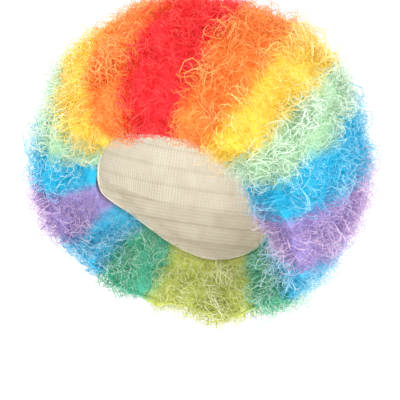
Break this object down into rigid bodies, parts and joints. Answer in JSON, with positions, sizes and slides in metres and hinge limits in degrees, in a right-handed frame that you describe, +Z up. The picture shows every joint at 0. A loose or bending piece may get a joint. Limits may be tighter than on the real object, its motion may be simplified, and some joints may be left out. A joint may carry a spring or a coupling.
{
  "type": "clown wig",
  "caption": "Round clown wig of tightly curled hair in rainbow bands on a stretch cap.",
  "frame": {"origin": "the inside of the cap at the crown, where the wig rests on a head", "axes": "+Z up, -Y out of the front of the opening, +X towards the left side as worn"},
  "size_m": [0.2939, 0.2916, 0.282],
  "materials": {
    "cap_knit": "undyed stretch knit, matt",
    "hair_red": "curled synthetic hair, soft sheen",
    "hair_orange": "curled synthetic hair, soft sheen",
    "hair_yellow": "curled synthetic hair, soft sheen",
    "hair_green": "curled synthetic hair, soft sheen",
    "hair_blue": "curled synthetic hair, soft sheen",
    "hair_purple": "curled synthetic hair, soft sheen",
    "hair_low_blue": "curled synthetic hair, soft sheen",
    "hair_low_green": "curled synthetic hair, soft sheen",
    "hair_nape_yellow": "curled synthetic hair, soft sheen"
  },
  "bodies": {
    "root": {"cap": "cap_knit", "hair_red": "hair_red", "hair_orange_left": "hair_orange", "hair_orange_right": "hair_orange", "hair_yellow_left": "hair_yellow", "hair_yellow_right": "hair_yellow", "hair_green_left": "hair_green", "hair_green_right": "hair_green", "hair_blue_left": "hair_blue", "hair_blue_right": "hair_blue", "hair_purple_left": "hair_purple", "hair_purple_right": "hair_purple", "hair_low_blue_left": "hair_low_blue", "hair_low_blue_right": "hair_low_blue", "hair_low_green_left": "hair_low_green", "hair_low_green_right": "hair_low_green", "hair_nape_yellow": "hair_nape_yellow"}
  },
  "joints": []
}
